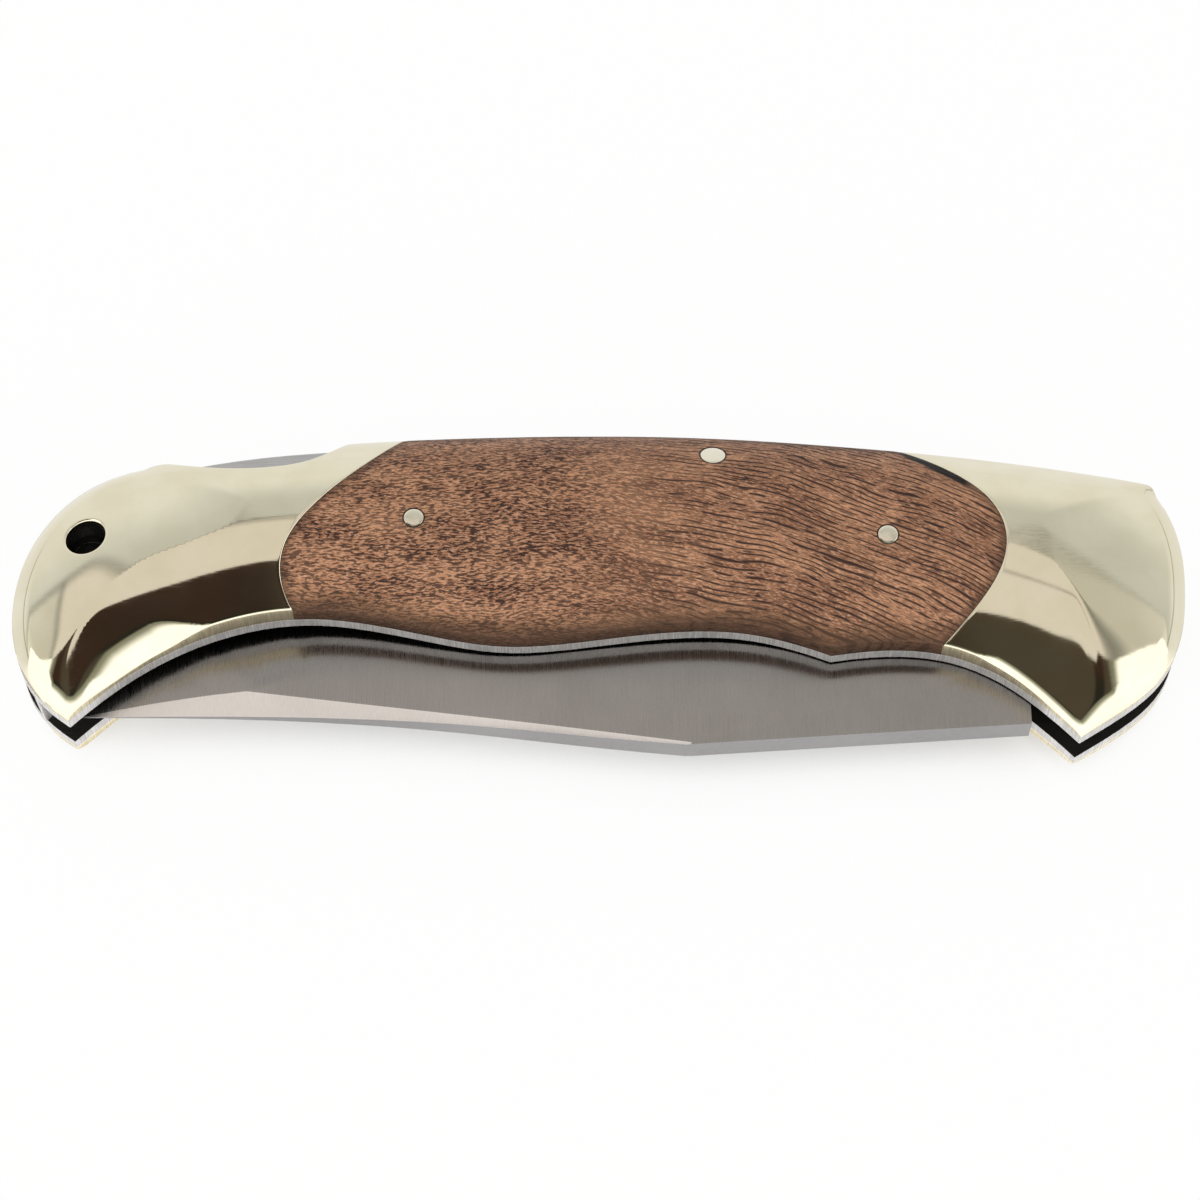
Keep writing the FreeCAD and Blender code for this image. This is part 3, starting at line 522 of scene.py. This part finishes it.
def crown(points):
    """Height of the handle's side above its liner.

    It is a land with a faint camber that rounds off towards every edge.
    """
    ring = BACK_RADIUS - np.hypot(*(points - BACK_CENTRE).T)
    back = np.maximum(ring + BACK_LIFT * soft_step(points[:, 0], 0, -BACK_LIFT_RUN), 0)
    falls = [
        shoulder(back, BACK_RUN, BACK_FALL),
        belly_fall(points),
        end_fall(points, BUTT),
        end_fall(points, FRONT),
    ]
    camber = np.maximum(points[:, 1] - CAMBER_START_Y, 0) ** 2 / (2 * CAMBER_RADIUS)
    total = sum(fall ** BLEND_POWER for fall in falls) ** (1 / BLEND_POWER)
    return np.maximum(CROWN - camber - total, THINNEST)


def filled(edges, inner):
    """Triangles over the area between closed edges, with more points inside it."""
    links, start = [], 0
    for edge in edges:
        links += [(start + i, start + (i + 1) % len(edge)) for i in range(len(edge))]
        start += len(edge)
    flat = [Vector(point) for point in np.vstack(edges + inner)]
    spots, _, faces, *_ = delaunay_2d_cdt(flat, links, [], 1, SAME_POINT)
    spots = np.array(spots)
    faces = np.array(faces)
    middles = spots[faces].mean(1)
    for hole in edges[1:]:
        outside = ~inside(middles, hole)
        faces, middles = faces[outside], middles[outside]
    return spots, faces


def spread_points(edges, step, rim, border):
    """Points for a smooth surface: close rows along the edges and an even grid between them."""
    insets = [share * rim for share in RIM_ROWS]
    insets += list(np.arange(insets[-1] + ROW_STEP, border, ROW_STEP))
    rows = []
    for edge in edges:
        ahead = np.roll(edge, -1, axis=0) - np.roll(edge, 1, axis=0)
        normal = np.stack([-ahead[:, 1], ahead[:, 0]], 1) / np.hypot(*ahead.T)[:, None]
        for inset in insets:
            clear = inset * ROW_SPACING
            rows += [(edge + inset * normal, clear), (edge - inset * normal, clear)]
    low, high = edges[0].min(0), edges[0].max(0)
    grid = np.meshgrid(np.arange(low[0], high[0], step), np.arange(low[1], high[1], step))
    rows.append((np.stack(grid, 2).reshape(-1, 2), insets[-1] + step / 2))
    kept = []
    for points, clear in rows:
        points = points[inside(points, edges[0])]
        for hole in edges[1:]:
            points = points[~inside(points, hole)]
        kept.append(points[np.min([distance_to(points, edge) for edge in edges], axis=0) >= clear])
    return kept


def crowned(node, side, step, rim, open_hole, border=0.0, chamfer=0.0, wall_material=None):
    """A piece of the handle's side with its CAD outline, a finely meshed crown and softened edges."""
    base = MIDDLE + side * LINER_FACE
    loops = flat_loops(node, base)
    holes = [loop for loop in loops[1:] if open_hole(loop)]
    edges = [refined(loops[0], step)] + [refined(hole, step / 3) for hole in holes]
    spots, faces = filled(edges, spread_points(edges, step, rim, border))

    def height(points):
        depth = np.min([distance_to(points, edge) for edge in edges], axis=0)
        soft = rim - np.sqrt(np.maximum(rim ** 2 - np.maximum(rim - depth, 0) ** 2, 0))
        cut = sum(np.maximum(chamfer - distance_to(points, hole), 0) for hole in edges[1:])
        return crown(points) - soft - cut

    def slope(shift):
        return (height(spots + shift) - height(spots - shift)) / (2 * SLOPE_STEP)

    heights = height(spots)
    outer = distance_to(spots, edges[0])
    to_hole = outer + END_RUN
    if holes:
        to_hole = np.min([distance_to(spots, hole) for hole in edges[1:]], axis=0)
    to_belly = distance_to(spots, BELLY, closed=False)
    normals = np.stack([-slope((SLOPE_STEP, 0)), -slope((0, SLOPE_STEP)), np.full(len(spots), 1.0)], 1)
    normals[:, 2] *= side
    normals /= np.linalg.norm(normals, axis=1)[:, None]
    # A normal of zero leaves the mesh's own normal in place, here on the soft edges.
    normals[np.minimum(outer, to_hole) < max(rim, chamfer) + SLOPE_STEP] = 0

    mesh = bmesh.new()
    layers = {name: mesh.verts.layers.float.new(name) for name in ("edge", "hole", "belly")}
    top = [mesh.verts.new((x, y, base + side * h)) for (x, y), h in zip(spots, heights)]
    for vertex, depths in zip(top, zip(outer, to_hole, to_belly)):
        for layer, depth in zip(layers.values(), depths):
            vertex[layer] = depth
    for face in faces:
        mesh.faces.new([top[i] for i in face])
    rims = [vertex for vertex in top if vertex.is_boundary]
    feet = {}
    for vertex in rims:
        feet[vertex] = mesh.verts.new((vertex.co.x, vertex.co.y, base))
        for layer in layers.values():
            feet[vertex][layer] = vertex[layer]
    rim_edges = [edge for edge in mesh.edges if edge.is_boundary]
    for edge in rim_edges:
        first, second = edge.verts
        wall = mesh.faces.new((first, second, feet[second], feet[first]))
        # Walls of the open holes get the painted shade of the bore.
        at_hole = max(first[layers["hole"]], second[layers["hole"]]) < SLOPE_STEP
        wall.material_index = BORE if at_hole else WALL
    _, under_faces = filled(edges, [])
    for face in under_faces:
        mesh.faces.new([feet[top[i]] for i in face])
    bmesh.ops.recalc_face_normals(mesh, faces=mesh.faces)
    finish_mesh(mesh)
    for edge in rim_edges:
        edge.smooth = False
    bmesh.ops.scale(mesh, verts=mesh.verts, vec=(MM, MM, MM))
    face_material = MATERIALS[SLOTS[node]]
    materials = [face_material, wall_material or face_material, BORE_SHADE_METAL]
    piece = show(f"{node}_shown", mesh, node, "handle", materials)
    every = np.zeros((len(piece.data.vertices), 3))
    every[:len(normals)] = normals
    piece.data.normals_split_custom_set_from_vertices([tuple(normal) for normal in every])


def finish_mesh(mesh):
    """Shades a mesh smooth, apart from its sharp edges."""
    for face in mesh.faces:
        face.smooth = True
    for edge in mesh.edges:
        edge.smooth = len(edge.link_faces) == 2 and edge.calc_face_angle() < SHARP_ANGLE


def show(name, mesh, node, body, materials):
    """Turns a bmesh into a piece that stands for a CAD node."""
    data = bpy.data.meshes.new(name)
    mesh.to_mesh(data)
    mesh.free()
    for material in materials:
        data.materials.append(material)
    piece = bpy.data.objects.new(name, data)
    bpy.context.scene.collection.objects.link(piece)
    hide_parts(node)
    if body:
        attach(piece, body)
    return piece


def dressed(node, body, bevel, thickness=None, cuts=(), extra_materials=(), material_of=None):
    """A copy of a CAD node with softened edges, smooth curved faces and, on some faces, other materials,
    some of them painted shade or a painted highlight.
    """
    mesh = bmesh.new()
    mesh.from_mesh(frame["nodes"][node].data)
    bmesh.ops.remove_doubles(mesh, verts=mesh.verts, dist=SAME_VERTEX)
    bmesh.ops.dissolve_limit(mesh, angle_limit=FLAT_ANGLE, verts=mesh.verts, edges=mesh.edges)
    mesh.normal_update()
    for face in mesh.faces:
        face.material_index = material_of(face) if extra_materials else 0
    for x in cuts:
        everything = mesh.verts[:] + mesh.edges[:] + mesh.faces[:]
        bmesh.ops.bisect_plane(mesh, geom=everything, plane_co=(x * MM, 0, 0), plane_no=(1, 0, 0))
    for vertex in mesh.verts:
        share = thickness(vertex.co.x / MM) if thickness else 1.0
        vertex.co.z = MIDDLE * MM + (vertex.co.z - MIDDLE * MM) * share
    finish_mesh(mesh)
    piece = show(f"{node}_shown", mesh, node, body, [MATERIALS[SLOTS[node]], *extra_materials])
    soften = piece.modifiers.new("soft_edges", "BEVEL")
    soften.width = bevel * MM
    soften.segments = 2
    soften.limit_method = "ANGLE"
    soften.angle_limit = SHARP_ANGLE
    soften.harden_normals = True
    return piece


def flush_pin(node):
    """A through pin whose two heads follow the wood, with a slight dome and a soft rim."""
    low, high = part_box(node)
    centre = np.array([low.x + high.x, low.y + high.y]) / 2 / MM
    radius = (high.x - low.x) / 2 / MM
    turn = np.arange(PIN_CORNERS) * 2 * math.pi / PIN_CORNERS
    around = np.stack([np.cos(turn), np.sin(turn)], 1)
    mesh = bmesh.new()

    def bridge(outer, inner):
        for i in range(PIN_CORNERS):
            j = (i + 1) % PIN_CORNERS
            mesh.faces.new((outer[i], outer[j], inner[j], inner[i]))

    heads = []
    for side in SIDES.values():
        rings = []
        for share, drop in PIN_RINGS:
            points = centre + around * radius * share
            heights = LINER_FACE + crown(points) + PIN_DOME * (1 - share ** 2) - drop
            rings.append([mesh.verts.new((x, y, MIDDLE + side * h)) for (x, y), h in zip(points, heights)])
        for outer, inner in zip(rings, rings[1:]):
            bridge(outer, inner)
        mesh.faces.new(rings[-1])
        heads.append(rings[0])
    bridge(*heads)
    bmesh.ops.recalc_face_normals(mesh, faces=mesh.faces)
    finish_mesh(mesh)
    bmesh.ops.scale(mesh, verts=mesh.verts, vec=(MM, MM, MM))
    show(f"{node}_shown", mesh, node, "handle", [PIN_METAL])


def pin_hole(loop):
    """Every hole in the wood is a pin's, and the pin's head shows in it."""
    return True


def lanyard_only(loop):
    """The bolsters' other holes are closed by pins that are polished away."""
    return np.hypot(*(loop.mean(0) - LANYARD_PLACE)) < LANYARD_OFFSET


def blade_face_material(face):
    """The swedge gets matte steel with a painted highlight, and the spine with the clip's edge a darker
    steel that is painted shade.
    """
    if SWEDGE_TILT[0] < abs(face.normal.z) < SWEDGE_TILT[1] and face.normal.y < 0:
        return SWEDGE
    return SPINE if abs(face.normal.z) < WALL_TILT and face.normal.y < -WALL_TILT else FLAT


def in_slot_or_bore(face):
    """Faces of the liners and the spacer that get the near-black painted shade: those towards the blade and
    the lanyard bore.
    """
    centre = np.array(face.calc_center_median()) / MM
    inward = face.normal.z * (centre[2] - MIDDLE) < -LEVEL_TILT * LINER_FACE / 2
    near_bore = np.hypot(*(centre[:2] - LANYARD_PLACE)) < LANYARD_REACH
    return int(inward or near_bore and abs(face.normal.z) < WALL_TILT)


def blade_share(x):
    """Share of its thickness that the blade keeps on its way to the tip."""
    return 1 / (1 + (min(x, 0) / HALF_THIN_X) ** 2)


def hidden_share(x):
    """Share of its length that a polished-away pin shows, the same all over."""
    return HIDDEN_PIN_SHARE


def look_at(obj, target):
    obj.rotation_euler = (target - obj.location).to_track_quat("-Z", "Y").to_euler()


def add_camera():
    lens = bpy.data.cameras.new("camera")
    lens.sensor_width = SENSOR_WIDTH
    lens.lens = lens.sensor_width * FOCAL_PIXELS / FRAME_PIXELS
    lens.clip_start = NEAR_CLIP * MM
    camera = bpy.data.objects.new("camera", lens)
    bpy.context.scene.collection.objects.link(camera)
    away = Vector((0, -math.cos(CAMERA_ELEVATION), math.sin(CAMERA_ELEVATION)))
    camera.location = (CAMERA_TARGET + away * CAMERA_DISTANCE) * MM
    look_at(camera, CAMERA_TARGET * MM)
    bpy.context.scene.camera = camera


def white_table():
    """Pale surface that shows white to the camera and in the metal, and keeps a soft shadow."""
    s = Shader("white_table")
    s.set(base_color=TABLE_GREY, roughness=0.9)
    path = s.add("ShaderNodeLightPath").outputs
    mirrored = s.math("MAXIMUM", path["Is Glossy Ray"], path["Is Transmission Ray"])
    seen = s.math("MAXIMUM", path["Is Camera Ray"], mirrored)
    reach = {"Distance": SHADOW_REACH * MM}
    open_sky = s.add("ShaderNodeAmbientOcclusion", {"samples": SHADOW_SAMPLES}, reach).outputs["AO"]
    share = s.math("MULTIPLY", seen, s.ramp(open_sky, *SHADOW_RANGE, 0.0, FLOOR_GLOW))
    gain = s.ramp(s.y, 0.0, MIRROR_FRONT_Y, MIRROR_REAR_GAIN, MIRROR_FRONT_GAIN)
    strength = s.math("ADD", 1.0, s.math("MULTIPLY", mirrored, gain))
    glow = s.add("ShaderNodeEmission", inputs={"Color": WHITE, "Strength": strength})
    blend = s.add("ShaderNodeMixShader", inputs={"Fac": share})
    s.tree.links.new(s.surface.outputs[0], blend.inputs[1])
    s.tree.links.new(glow.outputs[0], blend.inputs[2])
    s.tree.links.new(blend.outputs[0], s.tree.nodes["Material Output"].inputs["Surface"])
    return s.material


def add_floor():
    mesh = bmesh.new()
    bmesh.ops.create_grid(mesh, x_segments=4, y_segments=4, size=FLOOR_HALF * MM)
    data = bpy.data.meshes.new("floor")
    mesh.to_mesh(data)
    mesh.free()
    floor = bpy.data.objects.new("floor", data)
    floor.location.z = -FLOOR_GAP * MM
    bpy.context.scene.collection.objects.link(floor)
    data.materials.append(white_table())


def tent_walls(g, x, y, z, back, turn):
    """Lining overhead, a rear wall past the top seam, wings past the side seams, and grey seam lines."""
    aside = g.math("ABSOLUTE", turn)
    height = g.math("DEGREES", g.math("ARCSINE", z))
    right_seam = g.ramp(back, -8.0, 28.0, RIGHT_SEAM_FRONT, RIGHT_SEAM_REAR)
    seam = g.ramp(turn, -7.0, -1.0, LEFT_SEAM, right_seam)
    past_top = g.math("SUBTRACT", back, g.ramp(turn, -36.0, -9.0, TOP_SEAM_LEFT, TOP_SEAM))

    rear = g.mix(g.ramp(back, 29.0, 62.0), REAR_LOW, REAR_HIGH)
    tent = g.mix(g.ramp(past_top, -0.6, 0.6), TENT_LINING, rear)
    within = g.ramp(g.math("SUBTRACT", seam, aside), -1.0, 1.0)
    above = g.ramp(past_top, 1.0, -1.0)
    wings = g.mix(g.ramp(height, 10.0, 50.0), WING_LOW, WING_HIGH)
    tent = g.mix(g.math("MULTIPLY", above, g.math("SUBTRACT", 1.0, within)), tent, wings)

    top_seam = g.line(past_top, 0.0, g.ramp(turn, -24.0, 1.0, 3.2, 0.7), 0.5)
    slanted = g.math("ADD", back, g.math("MULTIPLY", turn, INNER_SLANT))
    inner = g.math("MULTIPLY", g.line(slanted, INNER_SEAM, 2.4, 0.5), g.ramp(aside, 9.5, 7.0))
    seam_half = g.ramp(turn, -5.0, 5.0, 2.4, g.ramp(back, 26.0, 12.0, 0.4, 10.0))
    seam_strength = g.ramp(turn, -5.0, 5.0, 0.5, 0.7)
    side_seam = g.line(g.math("SUBTRACT", aside, seam), 0.0, seam_half, seam_strength)
    side_seam = g.math("MULTIPLY", side_seam, above)
    ends = g.math("MULTIPLY", g.ramp(g.math("ABSOLUTE", x), 0.5, 0.7), g.ramp(y, 0.75, 0.6))
    ends = g.math("MULTIPLY", ends, g.ramp(y, -0.3, -0.1))
    end_seam = g.math("MULTIPLY", g.line(height, END_SEAM_HEIGHT, 3.0, 0.6), ends)
    for line in (top_seam, inner, side_seam, end_seam):
        tent = g.mix(line, tent, SEAM_GREY)
    return tent


def with_opening(g, tent, back, turn):
    """The tent with its dark opening in front, the olive hem of that and the white flaps around it."""
    side = g.math("ABSOLUTE", g.math("ADD", turn, -OPENING_MIDDLE))
    past_flap = g.math("SUBTRACT", side, g.ramp(back, 0.0, -60.0, FLAP_NEAR, FLAP_FAR))
    opening = g.mix(g.ramp(back, -11.0, -18.0), OPENING_BROWN, OPENING_BLACK)
    grey = g.math("MULTIPLY", g.ramp(turn, 3.0, -6.0, 0.0, GREY_SHARE), g.ramp(turn, -30.0, -16.0))
    grey = g.math("ADD", grey, g.ramp(turn, 16.0, 26.0, 0.0, GREY_SHARE))
    opening = g.mix(grey, opening, OPENING_GREY)
    opening = g.mix(g.ramp(back, -21.0, -27.0), opening, HEM_OLIVE)
    opening = g.mix(g.ramp(back, -28.0, -48.0), opening, FLAP_WHITE)
    fringe = g.math("MULTIPLY", g.ramp(past_flap, -6.0, 1.0), g.ramp(back, -40.0, -26.0))
    flap = g.mix(fringe, opening, HEM_OLIVE)
    flap = g.mix(g.ramp(past_flap, 0.0, 3.0), flap, FLAP_WHITE)
    rise = g.math("ADD", g.ramp(turn, -10.0, -16.0, 0.0, 13.0), g.ramp(turn, 4.0, 16.0, 0.0, 5.0))
    edge = g.math("ADD", g.ramp(side, FLAP_NEAR, 66.0, OPENING_TOP, OPENING_TOP_SIDE), rise)
    front = g.math("SUBTRACT", back, edge)
    return g.mix(g.ramp(front, 0.5, -0.5), tent, flap)


def add_world():
    """A pale box tent that the metal mirrors, white to the camera. Its ramps are in degrees."""
    world = bpy.data.worlds.new("tent")
    bpy.context.scene.world = world
    world.use_nodes = True
    world.node_tree.nodes.clear()
    g = Graph(world.node_tree)
    place = g.add("ShaderNodeTexCoord").outputs["Generated"]
    x, y, z = g.add("ShaderNodeSeparateXYZ", inputs={"Vector": place}).outputs
    back = g.math("DEGREES", g.math("ARCTAN2", y, z))
    turn = g.math("DEGREES", g.math("ARCTAN2", x, z))
    tent = with_opening(g, tent_walls(g, x, y, z, back, turn), back, turn)
    seen = g.add("ShaderNodeLightPath").outputs["Is Camera Ray"]
    background = g.add("ShaderNodeBackground", inputs={"Color": g.mix(seen, tent, WHITE)})
    g.tree.links.new(background.outputs[0], g.add("ShaderNodeOutputWorld").inputs["Surface"])


def add_lamp():
    light = bpy.data.lights.new("overhead_softbox", "AREA")
    light.shape = "RECTANGLE"
    light.size, light.size_y = (length * MM for length in LAMP_SIZE)
    light.energy = LAMP_POWER
    lamp = bpy.data.objects.new("overhead_softbox", light)
    bpy.context.scene.collection.objects.link(lamp)
    lamp.location = Vector(LAMP_PLACE) * MM
    lamp.visible_glossy = False
    look_at(lamp, CAMERA_TARGET * MM)


for side_name, side in SIDES.items():
    crowned(f"{side_name}_scale", side, SCALE_STEP, SCALE_RIM, pin_hole)
    for end, chamfer in (("front", 0.0), ("rear", LANYARD_CHAMFER)):
        crowned(f"{side_name}_{end}_bolster", side, BOLSTER_STEP, BOLSTER_RIM, lanyard_only,
                REAR_LIP, chamfer, WALL_METAL)
    # The liners' faces towards the blade and the bore get painted shade.
    dressed(f"{side_name}_liner", "handle", LINER_BEVEL, extra_materials=[BORE_SHADE_METAL], material_of=in_slot_or_bore)
    for hidden in ("bolster_rivets", "pivot_washer"):
        dressed(f"{side_name}_{hidden}", "handle", SMALL_PART_BEVEL)
for pin in ("rocker_pin", "front_handle_pin", "rear_handle_pin"):
    flush_pin(pin)
for pin in ("pivot_pin", "butt_pins"):
    dressed(pin, "handle", HIDDEN_PIN_BEVEL, hidden_share)
# The spacer's faces towards the slot and the bore get painted shade.
dressed("rear_spacer", "handle", SPACER_BEVEL, extra_materials=[BORE_SHADE_METAL], material_of=in_slot_or_bore)
# The swedge gets a painted highlight, the spine painted shade.
dressed("blade", "blade", BLADE_BEVEL, blade_share, BLADE_CUTS, [SWEDGE_HIGHLIGHT_STEEL, SPINE_SHADE_STEEL], blade_face_material)
dressed("lock_bar", "lock_bar", LOCK_BAR_BEVEL)

# The spacer grips the leaf spring at the butt; the leaf stays where it is, with its place baked into its
# mesh.
spring = dressed("lock_spring", None, SPRING_BEVEL)
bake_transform(spring)

add_camera()
add_floor()
add_world()
add_lamp()
bpy.context.scene.view_settings.view_transform = "Standard"
